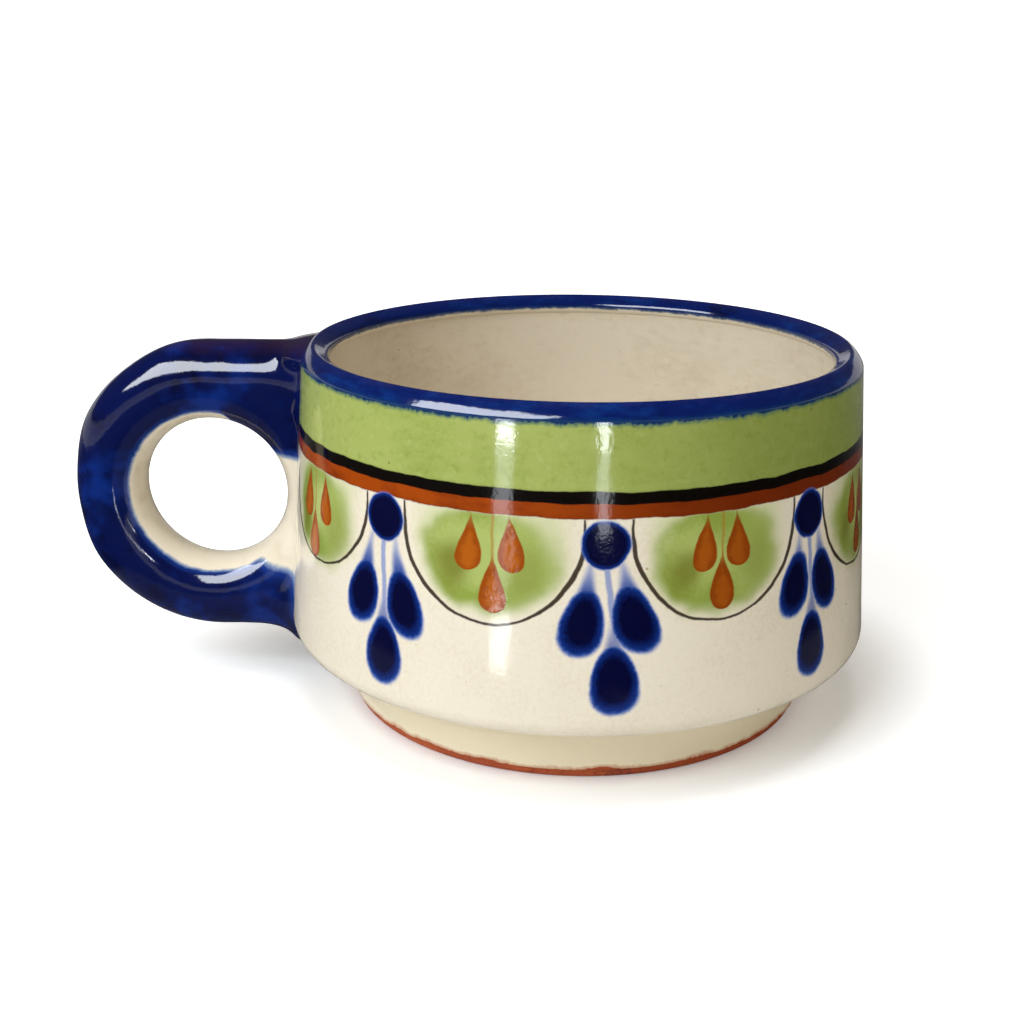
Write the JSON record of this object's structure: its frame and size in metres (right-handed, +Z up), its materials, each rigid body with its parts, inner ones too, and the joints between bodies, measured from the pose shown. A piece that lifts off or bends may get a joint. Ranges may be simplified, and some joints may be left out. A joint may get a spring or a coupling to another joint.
{
  "type": "clay mug",
  "caption": "Low round stacking mug in glazed red clay with a one-finger ring handle, a rolled rim and a stepped foot, for hot drinks.",
  "frame": {"origin": "centre of the foot's standing face", "axes": "+Z up along the cup's axis, the handle towards -X, the pictured side towards -Y"},
  "size_m": [0.1305, 0.0938, 0.0577],
  "materials": {
    "red_clay": "matte fired earthenware",
    "bare_clay": "matte fired earthenware, bare standing edge",
    "coil_clay": "matte fired earthenware",
    "luting_clay": "matte fired earthenware, smoothed by finger",
    "liner_glaze": "gloss cream glaze",
    "rim_glaze": "gloss cobalt glaze",
    "painted_glaze": "gloss cream glaze with painted bands, scallops and drops",
    "handle_glaze": "gloss cobalt glaze, cream inside the ring"
  },
  "bodies": {
    "root": {"clay_cup": "red_clay", "foot_ring": "bare_clay", "handle_ring": "coil_clay", "upper_root": "luting_clay", "lower_root": "luting_clay", "liner_glaze": "liner_glaze", "rim_glaze": "rim_glaze", "wall_glaze": "painted_glaze", "handle_glaze": "handle_glaze"}
  },
  "joints": []
}
